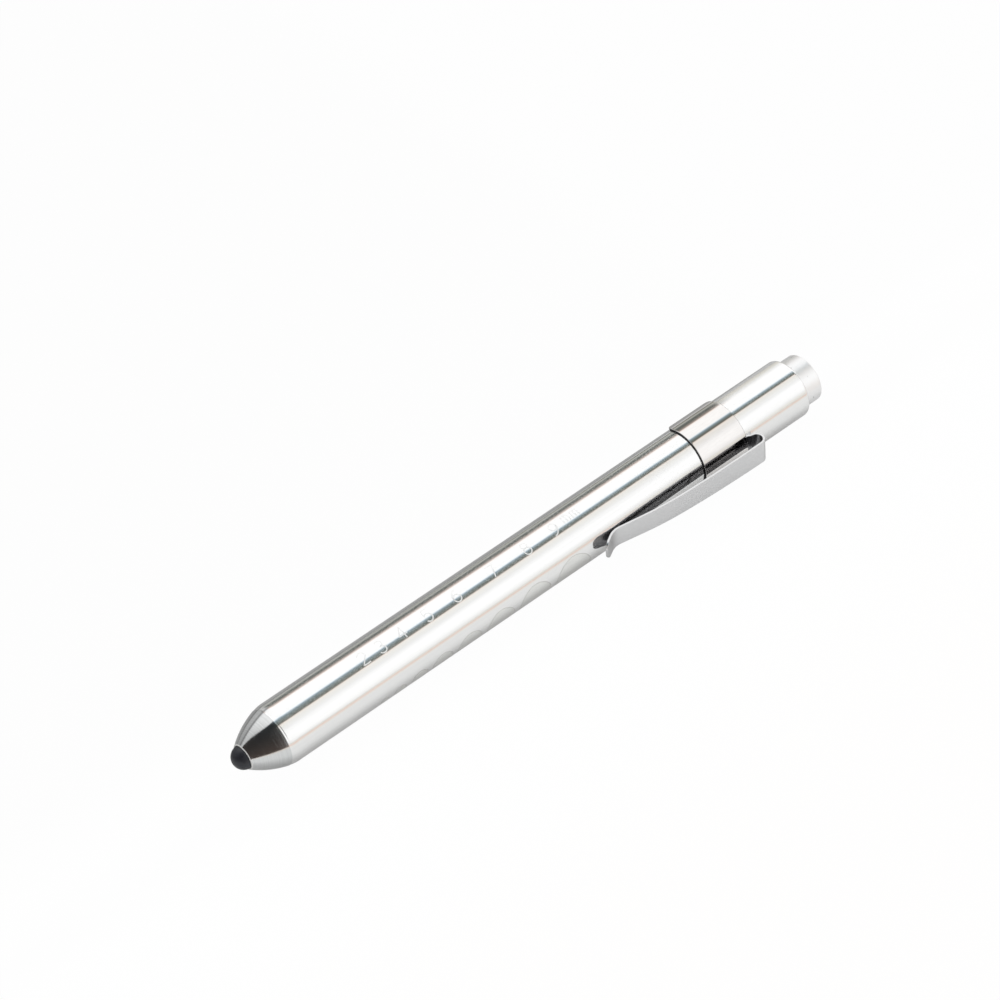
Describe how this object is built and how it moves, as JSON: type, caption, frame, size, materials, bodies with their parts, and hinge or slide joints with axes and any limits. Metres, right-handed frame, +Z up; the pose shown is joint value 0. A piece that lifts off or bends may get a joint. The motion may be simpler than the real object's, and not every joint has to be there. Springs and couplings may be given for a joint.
{
  "type": "penlight",
  "caption": "Slim metal pen torch with a turned nose, a small clear lamp, a pupil gauge on its polished tube, a spring pocket clip and a push-button tail that unscrews.",
  "frame": {"origin": "under the middle of the pen's bounding box, on the surface that it lies on", "axes": "+X along the pen from nose to tail, -Y the way the clip points, +Z up"},
  "size_m": [0.147, 0.0162, 0.0136],
  "materials": {
    "polished_tube": "mirror polished",
    "turned_nose": "lathe turned",
    "satin_button": "satin",
    "bare_thread": "machined",
    "plated_clip": "polished",
    "clear_lamp": "clear epoxy",
    "lamp_lead": "tinned",
    "black_plastic": "moulded",
    "white_plastic": "moulded",
    "contact_brass": "stamped",
    "spring_wire": "wire",
    "cell_jacket": "printed jacket"
  },
  "bodies": {
    "barrel": {"barrel_tube": "polished_tube", "nose_cone": "turned_nose", "led_body": "clear_lamp", "led_anode": "lamp_lead", "led_cathode": "lamp_lead", "led_holder": "black_plastic", "front_contact": "contact_brass", "battery_front": "cell_jacket", "battery_rear": "cell_jacket", "clip_band": "plated_clip"},
    "clip": {"clip_arm": "plated_clip"},
    "spring_end": {"battery_spring": "spring_wire", "spring_seat": "contact_brass"},
    "tail": {"tail_housing": "polished_tube", "thread_bush": "bare_thread", "switch_carrier": "black_plastic", "contact_pin": "contact_brass", "return_spring": "spring_wire"},
    "button": {"contact_disc": "contact_brass", "plunger": "white_plastic", "button_cap": "satin_button"}
  },
  "joints": [
    {"name": "clip_flex", "type": "hinge", "parent": "barrel", "child": "clip", "pos_m": [0.05405, -0.00636, 0.00682], "axis": [0, 0, 1], "range_deg": [0, 6], "stiffness_Nm_per_rad": 0.5, "springref_deg": -1.72},
    {"name": "tail_advance", "type": "slide", "parent": "barrel", "child": "spring_end", "axis": [1, 0, 0], "range_m": [0, 0.006]},
    {"name": "tail_unscrew", "type": "hinge", "parent": "spring_end", "child": "tail", "pos_m": [0.05167, 0.00176, 0.00682], "axis": [1, 0, 0], "range_deg": [0, 2880]},
    {"name": "button_press", "type": "slide", "parent": "tail", "child": "button", "axis": [-1, 0, 0], "range_m": [0, 0.0022], "stiffness_N_per_m": 800, "springref_m": -0.0015, "deforming": ["return_spring"]}
  ],
  "couplings": [
    {"joint": "tail_unscrew", "follows": "tail_advance", "rad_per_m": 8377.5}
  ]
}
